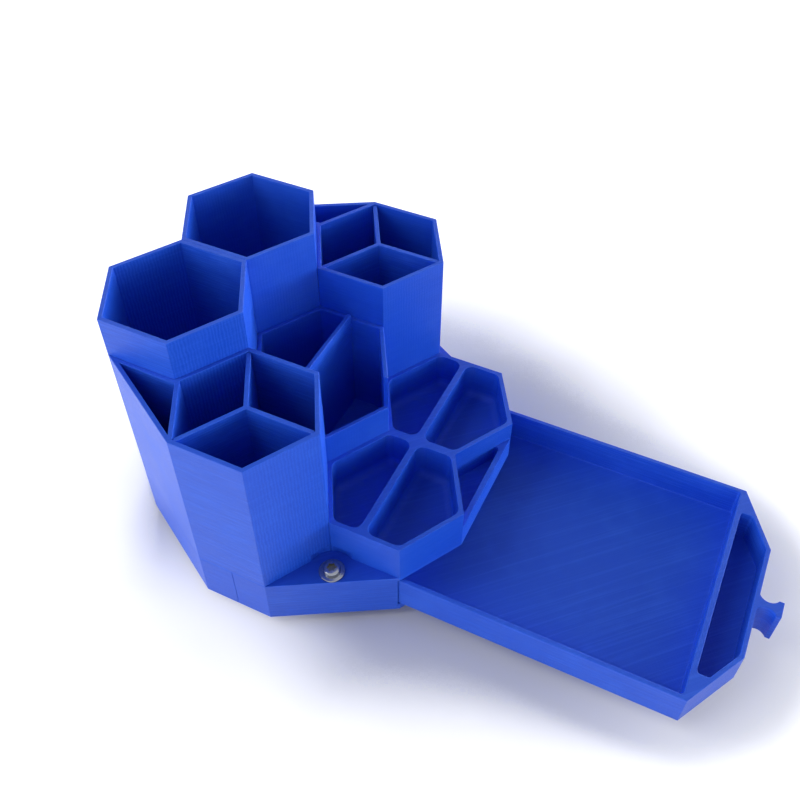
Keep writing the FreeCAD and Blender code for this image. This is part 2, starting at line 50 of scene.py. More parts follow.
# Cells, dividers and bins: name of the finish, its ribs and streaks, the share of the edge
# rounding that its nodes get, and the nodes.
CELL_FINISHES = (
    ("Printed Cell Blue", 1.0, 1.0, 1.0, ("left_cell", "rear_left_cell")),
    ("Printed Smooth Cell Blue", 0.5, 0.4, 1.0, ("right_cell", "rear_right_cell", "centre_cell")),
    ("Printed Divider Blue", 0.3, 1.0, 1.0,
     ("centre_divider", "left_star_divider", "right_star_divider")),
    ("Printed Bin Blue", 0.0, 0.5, 2.0, ("low_bins",)),
)
BASE_PARTS = ("base_floor", "base_front", "base_rear")
FOOT_PRINTS = ("foot_disc", "pivot_cap")
STEEL_PARTS = ("pivot_screw", "pivot_nut", "base_dowels", "deck_nuts")

# Rounding of the printed edges: what is merged, what counts as flat, and what as an edge.
# The bevel holds back where edges lie close together, so fine arcs stay nearly sharp.
MERGE_DISTANCE = 0.000004
FLAT_ANGLE = math.radians(0.5)
EDGE_ANGLE = math.radians(35.0)

# Deck screws. Lengths are in metres.
SCREW_ANGLES = (-150.0, -30.0, 90.0)
ROUND_SIDES = 64
WASHER_HOLE_RADIUS = 0.00215
SMALL_EDGE = 0.0002
DOME_EDGE = 0.0012
SHANK_STEP = 0.0018
SHANK_LENGTH = 0.0226
RECESS_LOBES = 6
RECESS_SIDES = 48
RECESS_MEAN = 0.86
RECESS_WAVE = 0.14
NEAR = 0.00001
NEAR_AXIS = 0.0001

# Printed surface. A slope is the upward part of a face's normal: 0 on a wall, 1 on a level face.
UP = (0.0, 0.0, 1.0)
LEVEL_SLOPE = (0.55, 0.85)
LEANING_SLOPE = (0.12, 0.5)
RIB_DIRECTIONS = (60.0, 120.0)
RIB_FACING = (0.9, 0.98)
RIB_SHIVER = 1.1
RIB_FADE = (0.3, 0.65)
RIB_REMAINS = 0.35
RIB_PALE_LEVEL = 0.35
RIB_HIDES_STREAKS = -0.6
RASTER_DIRECTION = (0.7071, 0.7071, 0.0)
RASTER_PITCH = 0.00048
RASTER_DRIFT = 14.0
SWEEP_TURN = math.radians(-45.0)
STREAK_PALE = (0.42, 0.68)
SWEEP_PALE = (0.45, 0.75)
PATCH_PALE = (0.45, 0.75)

# Noise, per metre, and per metre along X, Y and Z. A low number draws the pattern out.
GRAIN_SCALE = 900.0
CLOUD_SCALE = 38.0
DRIFT_SCALE = 140.0
WEAR_AND_HIGHLIGHT_SCALE = 260.0
STROKE_GRID = (75.0, 75.0, 1700.0)
UNEVEN_GRID = (2.0, 2.0, 2100.0)
BROAD_GRID = (14.0, 14.0, 260.0)
SHIVER_GRID = (420.0, 420.0, 260.0)
FADE_GRID = (60.0, 60.0, 12.0)
SWEEP_GRID = (800.0, 14.0, 60.0)

# How much each effect adds to the relief, the paleness and the roughness of the print.
RELIEF = {
    "layers": 0.12, "streaks": 1.9, "ribs": 0.26,
    "raster": 0.22, "sweeps": 1.2, "grain": 0.25,
}
PALENESS = {
    "streaks": 0.7, "ribs": 0.2, "sweeps": 0.3,
    "worn_and_highlit": 0.8, "patches": 0.22, "broad": 0.12,
}
ROUGHENING = {"clouds": 0.18, "slope": 0.25, "streaks": 0.2}
PRINT_RELIEF = 0.00008
PRINT_SPECULAR = 0.36
# Pale edges: partly rubbed wear, partly a painted highlight along the corners.
WEAR_AND_HIGHLIGHT_TURN = (0.01, 0.12)
WEAR_AND_HIGHLIGHT_BREAKS = (0.3, 0.6)

# Metals and plain plastics.
PLATED_STEEL = (0.33, 0.35, 0.41)
BALL_STEEL = (0.85, 0.85, 0.86)
# Darker steel for the screw recess: painted shade.
RECESS_SHADE_STEEL = (0.20, 0.205, 0.19)
STEEL_STAIN = 0.8
STEEL_STAIN_SCALE = 400.0
STEEL_MARK_STRETCH = (1.0, 1.0, 4.0)
STEEL_MARK_ROUGHNESS = 0.16
STEEL_RELIEF = 0.00002
RUBBER = (0.018, 0.018, 0.019, 1.0)
RUBBER_DUST = (0.06, 0.06, 0.062, 1.0)
RUBBER_GRAIN_SCALE = 1400.0
RUBBER_DUST_SCALE = 60.0
RUBBER_RELIEF = 0.00008
CAGE_COLOUR = (0.72, 0.72, 0.7)
CAGE_PALE_COLOUR = (0.82, 0.82, 0.8)

# Stage: floor, sky and lamp. The floor's white glow is shut off round the organiser as a painted
# shadow.
# The halo and the pool are painted rings of light on the floor: the distances from their middle at
# which they start and are full, and their share of the open floor's white.
FLOOR_COLOUR = (0.74, 0.76, 0.84, 1.0)
SHADOW_LEAN = (-0.21, 0.366, 0.906)
PAINTED_SHADOW_RANGE = (0.75, 0.90)
PAINTED_LIGHT_HALO = (0.14, 0.24, 0.36)
PAINTED_LIGHT_POOL = (0.15, 0.09, 0.8)
BAND_POWER = 4.0
FRONT_SIDE = (-0.5, -0.866, 0.0)
FRONT_POWER = 4.0
BRIGHT_SIDE = (0.766, -0.643, 0.0)
BRIGHT_POWER = 6.0
BRIGHT_GAIN = 3.2
KEY_PLACE = (-0.36, 0.70, 0.80)
WHITE = (1.0, 1.0, 1.0, 1.0)


# ---------------------------------------------------------------- settings

class OrganiserPrintSettings(bpy.types.PropertyGroup):
    """Finish of the printed plastic."""

    blue: FloatVectorProperty(
        name="Plastic Colour",
        description="Colour of the printed plastic",
        subtype="COLOR",
        size=3,
        min=0.0,
        max=1.0,
        default=(0.008, 0.078, 0.64),
    )
    # The pale colour also carries the painted highlight along the edges.
    pale_blue: FloatVectorProperty(
        name="Scuffed Colour",
        description="Colour of stretched and scuffed plastic along lines and edges",
        subtype="COLOR",
        size=3,
        min=0.0,
        max=1.0,
        default=(0.035, 0.155, 0.84),
    )
    roughness: FloatProperty(
        name="Roughness",
        description="Roughness of the printed plastic",
        subtype="FACTOR",
        min=0.0,
        max=1.0,
        default=0.37,
    )
    layer_height: FloatProperty(
        name="Layer Height",
        description="Height of one printed layer",
        unit="LENGTH",
        subtype="DISTANCE",
        min=0.00005,
        max=0.001,
        default=0.0003,
        precision=5,
    )
    rib_pitch: FloatProperty(
        name="Rib Pitch",
        description="Distance between the faint upright ribs on the front walls",
        unit="LENGTH",
        subtype="DISTANCE",
        min=0.0003,
        max=0.004,
        default=0.0015,
        precision=5,
    )
    # Reach of the pale edges, which are partly rubbed wear and partly a painted highlight.
    wear_and_highlight_reach: FloatProperty(
        name="Edge Wear",
        description="How far the rubbed edges reach over the faces",
        unit="LENGTH",
        subtype="DISTANCE",
        min=0.0,
        max=0.003,
        default=0.0006,
        precision=5,
    )
    edge: FloatProperty(
        name="Edge Rounding",
        description="Rounding of the printed edges",
        unit="LENGTH",
        subtype="DISTANCE",
        min=0.0,
        max=0.001,
        default=0.0003,
        precision=5,
    )


class OrganiserScrewSettings(bpy.types.PropertyGroup):
    """Sizes of the deck screws and their washers."""

    circle: FloatProperty(
        name="Screw Circle",
        description="Distance of the deck screws from the turning axis",
        unit="LENGTH",
        subtype="DISTANCE",
        default=0.0806025,
        precision=5,
    )
    deck_level: FloatProperty(
        name="Deck Level",
        description="Height of the deck that the washers lie on",
        unit="LENGTH",
        subtype="DISTANCE",
        default=0.031,
        precision=5,
    )
    washer_radius: FloatProperty(
        name="Washer Radius",
        description="Outer radius of a washer",
        unit="LENGTH",
        subtype="DISTANCE",
        default=0.006,
        precision=5,
    )
    washer_height: FloatProperty(
        name="Washer Thickness",
        description="Thickness of a washer",
        unit="LENGTH",
        subtype="DISTANCE",
        default=0.001,
        precision=5,
    )
    head_radius: FloatProperty(
        name="Head Radius",
        description="Radius of a screw head",
        unit="LENGTH",
        subtype="DISTANCE",
        default=0.004,
        precision=5,
    )
    head_height: FloatProperty(
        name="Head Height",
        description="Height of a screw head",
        unit="LENGTH",
        subtype="DISTANCE",
        default=0.0024,
        precision=5,
    )
    recess_radius: FloatProperty(
        name="Recess Radius",
        description="Outer radius of the six-lobed recess",
        unit="LENGTH",
        subtype="DISTANCE",
        default=0.0023,
        precision=5,
    )
    recess_depth: FloatProperty(
        name="Recess Depth",
        description="Depth of the six-lobed recess",
        unit="LENGTH",
        subtype="DISTANCE",
        default=0.0013,
        precision=5,
    )


class OrganiserStageSettings(bpy.types.PropertyGroup):
    """Camera, light and floor."""

    camera_place: FloatVectorProperty(
        name="Camera Place",
        description="Where the camera stands",
        unit="LENGTH",
        subtype="TRANSLATION",
        size=3,
        default=(-0.2606, -0.1664, 0.3847),
    )
    camera_target: FloatVectorProperty(
        name="Camera Target",
        description="What the camera looks at",
        unit="LENGTH",
        subtype="TRANSLATION",
        size=3,
        default=(0.0461, -0.0183, 0.0223),
    )
    lens: FloatProperty(
        name="Lens",
        description="Focal length for a square picture on a 36 mm sensor",
        unit="CAMERA",
        min=10.0,
        max=200.0,
        default=41.3,
    )
    sky: FloatProperty(
        name="Sky Strength",
        description="Strength of the even light from straight above",
        min=0.0,
        max=4.0,
        default=0.14,
    )
    horizon: FloatProperty(
        name="Horizon Strength",
        description="Strength of the band of light from low down all round",
        min=0.0,
        max=10.0,
        default=5.2,
    )
    front_dip: FloatProperty(
        name="Front Dip",
        description="How much weaker the low light is on the side where the camera stands",
        subtype="FACTOR",
        min=0.0,
        max=1.0,
        default=0.95,
    )
    key: FloatProperty(
        name="Key Light",
        description="Strength of the soft light from behind",
        min=0.0,
        max=20.0,
        default=1.1,
    )
    key_spread: FloatProperty(
        name="Key Spread",
        description="Apparent width of the soft light from behind",
        unit="ROTATION",
        subtype="ANGLE",
        min=0.0,
        max=3.0,
        default=math.radians(40.0),
    )
    floor_glow: FloatProperty(
        name="Floor White",
        description="White that the open floor shows to the camera and to reflections",
        min=0.0,
        max=1.0,
        default=0.64,
    )
    # Reach of the painted shadow that shuts off the floor's white glow round the organiser.
    shadow_reach: FloatProperty(
        name="Shadow Reach",
        description="How far the shadow round the foot of the organiser spreads over the floor",
        unit="LENGTH",
        subtype="DISTANCE",
        min=0.01,
        max=1.0,
        default=0.16,
    )
    # Middle of a pool of light painted into the floor's white glow.
    painted_light_pool_place: FloatVectorProperty(
        name="Light Pool",
        description="Middle of the brighter floor beside the organiser",
        unit="LENGTH",
        subtype="TRANSLATION",
        size=3,
        default=(-0.2, 0.02, 0.0),
    )
    floor_size: FloatProperty(
        name="Floor Size",
        description="Width of the floor",
        unit="LENGTH",
        subtype="DISTANCE",
        min=1.0,
        max=20.0,
        default=8.0,
    )


# ---------------------------------------------------------------- node helpers

def link(tree, source, target):
    """Join two sockets."""
    tree.links.new(source, target)


def math_node(tree, operation, first, second=None, clamp=False):
    """Math node fed by sockets or plain numbers."""
    node = tree.nodes.new("ShaderNodeMath")
    node.operation = operation
    node.use_clamp = clamp
    for index, value in enumerate((first, second)):
        if value is None:
            continue
        if isinstance(value, (int, float)):
            node.inputs[index].default_value = value
        else:
            link(tree, value, node.inputs[index])
    return node.outputs[0]


def add(tree, *terms, clamp=False):
    """Sum of sockets and numbers. Clamped, the whole sum stays between 0 and 1."""
    total = terms[0]
    for place, term in enumerate(terms[1:], 2):
        total = math_node(tree, "ADD", total, term, clamp and place == len(terms))
    return total


def multiply(tree, *factors):
    """Product of sockets and numbers."""
    total = factors[0]
    for factor in factors[1:]:
        total = math_node(tree, "MULTIPLY", total, factor)
    return total


def smooth_step(tree, value, low, high):
    """Mask that rises smoothly from 0 to 1 between two values."""
    node = tree.nodes.new("ShaderNodeMapRange")
    node.interpolation_type = "SMOOTHSTEP"
    link(tree, value, node.inputs["Value"])
    node.inputs["From Min"].default_value = low
    node.inputs["From Max"].default_value = high
    return node.outputs["Result"]


def noise_node(tree, vector, scale, detail=3.0, roughness=0.6):
    """Noise between 0 and 1."""
    node = tree.nodes.new("ShaderNodeTexNoise")
    link(tree, vector, node.inputs["Vector"])
    node.inputs["Scale"].default_value = scale
    node.inputs["Detail"].default_value = detail
    node.inputs["Roughness"].default_value = roughness
    return node.outputs["Fac"]


def vector_node(tree, operation, vector, values, output):
    """Vector math node between a socket and three numbers."""
    node = tree.nodes.new("ShaderNodeVectorMath")
    node.operation = operation
    link(tree, vector, node.inputs[0])
    node.inputs[1].default_value = values
    return node.outputs[output]


def stretched(tree, vector, factors):
    """Coordinates scaled by three factors."""
    return vector_node(tree, "MULTIPLY", vector, factors, "Vector")


def dot(tree, vector, direction):
    """Component of a vector along a fixed direction."""
    return vector_node(tree, "DOT_PRODUCT", vector, direction, "Value")


def distance_to(tree, vector, point):
    """Distance of a place from a fixed point."""
    return vector_node(tree, "DISTANCE", vector, point, "Value")


def drawn_out_noise(tree, vector, grid, detail=3.0, roughness=0.6):
    """Noise with its own scale along each axis."""
    return noise_node(tree, stretched(tree, vector, grid), 1.0, detail, roughness)


def mix_colour(tree, factor, first, second):
    """Blend of two colours."""
    node = tree.nodes.new("ShaderNodeMix")
    node.data_type = "RGBA"
    link(tree, factor, node.inputs[0])
    for index, value in ((6, first), (7, second)):
        if isinstance(value, (tuple, list)):
            node.inputs[index].default_value = value
        else:
            link(tree, value, node.inputs[index])
    return node.outputs[2]


def seen_rays(tree):
    """Mask of the rays that come from the camera, a mirror or a window."""
    rays = tree.nodes.new("ShaderNodeLightPath")
    seen = math_node(tree, "MAXIMUM", rays.outputs["Is Camera Ray"], rays.outputs["Is Glossy Ray"])
    return math_node(tree, "MAXIMUM", seen, rays.outputs["Is Transmission Ray"])


def new_group(name, sockets_in, sockets_out):
    """Empty shader group with its inputs and outputs."""
    tree = bpy.data.node_groups.new(name, "ShaderNodeTree")
    for label, kind, default in sockets_in:
        socket = tree.interface.new_socket(name=label, in_out="INPUT", socket_type=kind)
        if default is not None:
            socket.default_value = default
    for label, kind in sockets_out:
        tree.interface.new_socket(name=label, in_out="OUTPUT", socket_type=kind)
    entry = tree.nodes.new("NodeGroupInput")
    leave = tree.nodes.new("NodeGroupOutput")
    return tree, entry.outputs, leave.inputs


# ---------------------------------------------------------------- materials

def rib_waves(tree, place, facing, pitch):
    """Upright waves on the walls that carry them, and the mask of those walls."""
    shiver = multiply(tree, drawn_out_noise(tree, place, SHIVER_GRID, 2.0, 0.5), RIB_SHIVER)
    waves = []
    masks = []
    for degrees in RIB_DIRECTIONS:
        angle = math.radians(degrees)
        normal = (math.cos(angle), math.sin(angle), 0.0)
        along = (-math.sin(angle), math.cos(angle), 0.0)
        match = math_node(tree, "ABSOLUTE", dot(tree, facing, normal))
        match = smooth_step(tree, match, *RIB_FACING)
        turns = add(tree, math_node(tree, "DIVIDE", dot(tree, place, along), pitch), shiver)
        wave = math_node(tree, "SINE", multiply(tree, turns, math.tau))
        waves.append(multiply(tree, wave, match))
        masks.append(match)
    fade = smooth_step(tree, drawn_out_noise(tree, place, FADE_GRID, 2.0, 0.5), *RIB_FADE)
    fade = add(tree, fade, RIB_REMAINS, clamp=True)
    return multiply(tree, add(tree, *waves), fade), add(tree, *masks)


def raster_lines(tree, place):
    """Fine lines of the nozzle's path on level faces."""
    turns = multiply(tree, dot(tree, place, RASTER_DIRECTION), math.tau / RASTER_PITCH)
    drift = multiply(tree, noise_node(tree, place, DRIFT_SCALE, 2.0, 0.5), RASTER_DRIFT)
    return math_node(tree, "SINE", add(tree, turns, drift))


def nozzle_sweeps(tree, place):
    """Long soft bands that follow the nozzle's path on level faces."""
    turned = tree.nodes.new("ShaderNodeVectorRotate")
    turned.rotation_type = "Z_AXIS"
    turned.inputs["Angle"].default_value = SWEEP_TURN
    link(tree, place, turned.inputs["Vector"])
    return drawn_out_noise(tree, turned.outputs["Vector"], SWEEP_GRID)


def printed_surface_group():
    """Layer lines on the walls, raster lines on level faces, faint ribs, scuffs, and pale edges
    that are partly rubbed and partly a painted highlight.
    """
    name = "Printed Surface"
    if name in bpy.data.node_groups:
        return bpy.data.node_groups[name]
    tree, give, take = new_group(
        name,
        (
            ("Place", "NodeSocketVector", None),
            ("Facing", "NodeSocketVector", None),
            ("Colour", "NodeSocketColor", (0.008, 0.078, 0.64, 1.0)),
            ("Pale Colour", "NodeSocketColor", (0.035, 0.155, 0.84, 1.0)),
            ("Layer Height", "NodeSocketFloat", 0.0003),
            ("Rib Pitch", "NodeSocketFloat", 0.0015),
            ("Ribs", "NodeSocketFloat", 1.0),
            ("Streaks", "NodeSocketFloat", 1.0),
            ("Roughness", "NodeSocketFloat", 0.37),
            ("Worn And Highlit", "NodeSocketFloat", 0.0),
        ),
        (
            ("Colour", "NodeSocketColor"),
            ("Roughness", "NodeSocketFloat"),
            ("Height", "NodeSocketFloat"),
        ),
    )
    place = give["Place"]
    facing = give["Facing"]
    up = math_node(tree, "ABSOLUTE", dot(tree, facing, UP))
    level = smooth_step(tree, up, *LEVEL_SLOPE)
    wall = math_node(tree, "SUBTRACT", 1.0, level)

    layers = math_node(tree, "DIVIDE", dot(tree, place, UP), give["Layer Height"])
    layers = math_node(tree, "SINE", multiply(tree, layers, math.tau))
    strokes = drawn_out_noise(tree, place, STROKE_GRID)
    uneven = drawn_out_noise(tree, place, UNEVEN_GRID, 2.0)
    streaks = multiply(tree, add(tree, strokes, uneven), 0.5)
    broad = drawn_out_noise(tree, place, BROAD_GRID)
    ribs, ribbed = rib_waves(tree, place, facing, give["Rib Pitch"])
    ribs = multiply(tree, ribs, give["Ribs"])
    raster = raster_lines(tree, place)
    sweeps = nozzle_sweeps(tree, place)
    grain = noise_node(tree, place, GRAIN_SCALE)
    clouds = noise_node(tree, place, CLOUD_SCALE)

    streaked = add(tree, multiply(tree, ribbed, give["Ribs"], RIB_HIDES_STREAKS), 1.0)
    streaked = multiply(tree, streaked, give["Streaks"])
    streak_height = multiply(tree, math_node(tree, "SUBTRACT", streaks, 0.5), streaked)
    wall_height = add(
        tree,
        multiply(tree, layers, RELIEF["layers"]),
        multiply(tree, streak_height, RELIEF["streaks"]),
        multiply(tree, ribs, RELIEF["ribs"]),
    )
    level_height = add(
        tree,
        multiply(tree, raster, RELIEF["raster"]),
        multiply(tree, sweeps, RELIEF["sweeps"]),
    )
    height = add(
        tree,
        multiply(tree, wall_height, wall),
        multiply(tree, level_height, level),
        multiply(tree, grain, RELIEF["grain"]),
    )
    link(tree, height, take["Height"])

    streak_pale = multiply(tree, smooth_step(tree, streaks, *STREAK_PALE), wall, streaked)
    rib_pale = multiply(tree, add(tree, ribs, RIB_PALE_LEVEL), wall, give["Ribs"])
    sweep_pale = multiply(tree, smooth_step(tree, sweeps, *SWEEP_PALE), level)
    pale = add(
        tree,
        multiply(tree, streak_pale, PALENESS["streaks"]),
        multiply(tree, rib_pale, PALENESS["ribs"]),
        multiply(tree, sweep_pale, PALENESS["sweeps"]),
        # Pale edges: partly wear, partly a painted highlight.
        multiply(tree, give["Worn And Highlit"], PALENESS["worn_and_highlit"]),
        multiply(tree, smooth_step(tree, clouds, *PATCH_PALE), PALENESS["patches"]),
        multiply(tree, broad, PALENESS["broad"]),
        clamp=True,
    )
    link(tree, mix_colour(tree, pale, give["Colour"], give["Pale Colour"]), take["Colour"])

    rough = add(
        tree,
        multiply(tree, math_node(tree, "SUBTRACT", clouds, 0.5), ROUGHENING["clouds"]),
        give["Roughness"],
        multiply(tree, smooth_step(tree, up, *LEANING_SLOPE), ROUGHENING["slope"]),
        multiply(tree, streak_height, ROUGHENING["streaks"]),
        clamp=True,
    )
    link(tree, rough, take["Roughness"])
    return tree


def edge_wear_and_highlight_group():
    """Mask of the pale edges: partly rubbed by handling, partly a painted highlight along the
    rounded corners.
    """
    name = "Edge Wear"
    if name in bpy.data.node_groups:
        return bpy.data.node_groups[name]
    tree, give, take = new_group(
        name,
        (
            ("Place", "NodeSocketVector", None),
            ("Reach", "NodeSocketFloat", 0.0006),
        ),
        (("Mask", "NodeSocketFloat"),),
    )
    rounded = tree.nodes.new("ShaderNodeBevel")
    rounded.samples = 6
    link(tree, give["Reach"], rounded.inputs["Radius"])
    flat = tree.nodes.new("ShaderNodeNewGeometry").outputs["Normal"]
    agree = tree.nodes.new("ShaderNodeVectorMath")
    agree.operation = "DOT_PRODUCT"
    link(tree, rounded.outputs["Normal"], agree.inputs[0])
    link(tree, flat, agree.inputs[1])
    edge = math_node(tree, "SUBTRACT", 1.0, agree.outputs["Value"])
    edge = smooth_step(tree, edge, *WEAR_AND_HIGHLIGHT_TURN)
    broken = smooth_step(tree, noise_node(tree, give["Place"], WEAR_AND_HIGHLIGHT_SCALE), *WEAR_AND_HIGHLIGHT_BREAKS)
    link(tree, multiply(tree, edge, broken), take["Mask"])
    return tree


def new_material(name):
    """Material with its tree and its shader."""
    material = bpy.data.materials.new(name)
    material.use_nodes = True
    tree = material.node_tree
    shader = tree.nodes["Principled BSDF"]
    return material, tree, shader


def raise_surface(tree, shader, height, strength, distance):
    """Give the shader the relief of a height."""
    bump = tree.nodes.new("ShaderNodeBump")
    bump.inputs["Strength"].default_value = strength
    bump.inputs["Distance"].default_value = distance
    link(tree, height, bump.inputs["Height"])
    link(tree, bump.outputs["Normal"], shader.inputs["Normal"])


def printed_material(name, settings, colour, pale, ribs, streaks):
    """Layered print plastic."""
    material, tree, shader = new_material(name)
    coordinates = tree.nodes.new("ShaderNodeTexCoord")
    surface = tree.nodes.new("ShaderNodeGroup")
    surface.node_tree = printed_surface_group()
    link(tree, coordinates.outputs["Object"], surface.inputs["Place"])
    link(tree, coordinates.outputs["Normal"], surface.inputs["Facing"])
    for label, value in (
            ("Colour", (*colour, 1.0)),
            ("Pale Colour", (*pale, 1.0)),
            ("Layer Height", settings.layer_height),
            ("Rib Pitch", settings.rib_pitch),
            ("Ribs", ribs),
            ("Streaks", streaks),
            ("Roughness", settings.roughness)):
        surface.inputs[label].default_value = value
    # Pale edges: partly rubbed wear, partly a painted highlight along the corners.
    wear_and_highlight = tree.nodes.new("ShaderNodeGroup")
    wear_and_highlight.node_tree = edge_wear_and_highlight_group()
    link(tree, coordinates.outputs["Object"], wear_and_highlight.inputs["Place"])
    wear_and_highlight.inputs["Reach"].default_value = settings.wear_and_highlight_reach
    link(tree, wear_and_highlight.outputs["Mask"], surface.inputs["Worn And Highlit"])
    raise_surface(tree, shader, surface.outputs["Height"], 1.0, PRINT_RELIEF)
    link(tree, surface.outputs["Colour"], shader.inputs["Base Color"])
    link(tree, surface.outputs["Roughness"], shader.inputs["Roughness"])
    shader.inputs["Specular IOR Level"].default_value = PRINT_SPECULAR
    return material


def blue_print(name, settings, ribs, streaks):
    """Layered print plastic in the organiser's blue."""
    return printed_material(name, settings, settings.blue, settings.pale_blue, ribs, streaks)


def steel_material(name, colour, roughness, turned_marks):
    """Plated or polished steel with fine marks."""
    material, tree, shader = new_material(name)
    place = tree.nodes.new("ShaderNodeTexCoord").outputs["Object"]
    fine = noise_node(tree, stretched(tree, place, STEEL_MARK_STRETCH), turned_marks, 4.0)
    stains = noise_node(tree, place, STEEL_STAIN_SCALE, 3.0, 0.5)
    stained = (*[part * STEEL_STAIN for part in colour], 1.0)
    tone = mix_colour(tree, stains, stained, (*colour, 1.0))
    link(tree, tone, shader.inputs["Base Color"])
    shader.inputs["Metallic"].default_value = 1.0
    rough = add(tree, multiply(tree, fine, STEEL_MARK_ROUGHNESS), roughness)
    link(tree, rough, shader.inputs["Roughness"])
    raise_surface(tree, shader, fine, 0.2, STEEL_RELIEF)
    return material


def rubber_material():
    """Black foot rubber with a fine moulded grain and dust."""
    material, tree, shader = new_material("Foot Rubber")
    place = tree.nodes.new("ShaderNodeTexCoord").outputs["Object"]
    grain = noise_node(tree, place, RUBBER_GRAIN_SCALE)
    dust = smooth_step(tree, noise_node(tree, place, RUBBER_DUST_SCALE, 4.0), 0.5, 0.8)
    tone = mix_colour(tree, dust, RUBBER, RUBBER_DUST)
    link(tree, tone, shader.inputs["Base Color"])
    rough = add(tree, multiply(tree, grain, 0.2), 0.65)
    link(tree, rough, shader.inputs["Roughness"])
    raise_surface(tree, shader, grain, 0.5, RUBBER_RELIEF)
    return material


# ---------------------------------------------------------------- object helpers

def dress(node, material):
    """Give a frame node one material."""
    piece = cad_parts[node]
    piece.data.materials.clear()
    piece.data.materials.append(material)
    return piece


def soften_edges(piece, width):
    """Round the edges of a frame node with live modifiers."""
    weld = piece.modifiers.new("Join", "WELD")
    weld.merge_threshold = MERGE_DISTANCE
    flats = piece.modifiers.new("Flats", "DECIMATE")
    flats.decimate_type = "DISSOLVE"
    flats.angle_limit = FLAT_ANGLE
    bevel = piece.modifiers.new("Edges", "BEVEL")
    bevel.width = width
    bevel.segments = 2
    bevel.limit_method = "ANGLE"
    bevel.angle_limit = EDGE_ANGLE
    bevel.use_clamp_overlap = True
    bevel.loop_slide = False
    bevel.harden_normals = False


def clear_selection():
    """Leave nothing selected."""
    if bpy.context.object and bpy.context.object.mode != "OBJECT":
        bpy.ops.object.mode_set(mode="OBJECT")
    bpy.ops.object.select_all(action="DESELECT")


def make_active(piece):
    """Select one object and make it active."""
    clear_selection()
    piece.select_set(True)
    bpy.context.view_layer.objects.active = piece


def select_parts(piece, kind, test):
    """Select in edit mode the vertices, edges or faces that pass a test."""
    bpy.ops.mesh.select_mode(type=kind)
    bpy.ops.mesh.select_all(action="DESELECT")
    work = bmesh.from_edit_mesh(piece.data)
    for part in {"VERT": work.verts, "EDGE": work.edges, "FACE": work.faces}[kind]:
        part.select = test(part)
    work.select_flush_mode()
    bmesh.update_edit_mesh(piece.data)


def select_vertices(piece, test):
    """Select the vertices whose place passes a test."""
    select_parts(piece, "VERT", lambda vertex: test(vertex.co))


def select_edges(piece, test):
    """Select the edges whose two ends pass a test."""
    select_parts(piece, "EDGE", lambda edge: test(edge.verts[0].co, edge.verts[1].co))


def select_faces(piece, test):
    """Select the faces whose centre and normal pass a test."""
    select_parts(piece, "FACE", lambda face: test(face.calc_center_median(), face.normal))


def settle(piece):
    """Put the object's place into its mesh."""
    make_active(piece)
    bpy.ops.object.transform_apply(location=True, rotation=True, scale=True)


def new_cylinder(name, radius, depth, middle, sides=ROUND_SIDES):
    """Upright cylinder on the axis, with its place in its mesh."""
    clear_selection()
    bpy.ops.mesh.primitive_cylinder_add(
        vertices=sides, radius=radius, depth=depth,
        end_fill_type="NGON", location=(0.0, 0.0, middle))
    piece = bpy.context.object
    piece.name = name
    settle(piece)
    return piece


def copy_to(piece, name, offset):
    """Copy with its own mesh, moved by an offset."""
    twin = piece.copy()
    twin.data = piece.data.copy()
    twin.name = name
    bpy.context.scene.collection.objects.link(twin)
    twin.location = offset
    settle(twin)
    return twin


# ---------------------------------------------------------------- operators

class ORGANISER_OT_cells(bpy.types.Operator):
    """Printed tall cells, low bins and dividers"""

    bl_idname = "organiser.cells"
    bl_label = "Cells and Bins"

    def execute(self, context):
        settings = context.scene.organiser_print
        for name, ribs, streaks, rounding, nodes in CELL_FINISHES:
            finish = blue_print(name, settings, ribs, streaks)
            for node in nodes:
                soften_edges(dress(node, finish), settings.edge * rounding)
        return {"FINISHED"}


class ORGANISER_OT_base(bpy.types.Operator):
    """Printed base halves, floor and turning foot"""

    bl_idname = "organiser.base"
    bl_label = "Base and Foot"

    def execute(self, context):
        settings = context.scene.organiser_print
        shell = blue_print("Printed Base Blue", settings, 0.15, 0.8)
        for node in BASE_PARTS:
            soften_edges(dress(node, shell), settings.edge)
        for node in FOOT_PRINTS:
            dress(node, shell)
        dress("foot_pad", rubber_material())
        steel = steel_material("Plated Steel", PLATED_STEEL, 0.12, 2500.0)
        for node in STEEL_PARTS:
            dress(node, steel)
        dress("bearing_balls", steel_material("Ball Steel", BALL_STEEL, 0.06, 1200.0))
        cage = printed_material(
            "Cage Plastic", settings, CAGE_COLOUR, CAGE_PALE_COLOUR, 0.0, 0.2)
        dress("ball_cage", cage)
        return {"FINISHED"}


class ORGANISER_OT_drawer(bpy.types.Operator):
    """Printed drawer with its pull"""

    bl_idname = "organiser.drawer"
    bl_label = "Drawer"

    def execute(self, context):
        settings = context.scene.organiser_print
        tray = blue_print("Printed Drawer Blue", settings, 0.0, 0.7)
        soften_edges(dress("drawer_tray", tray), settings.edge)
        return {"FINISHED"}


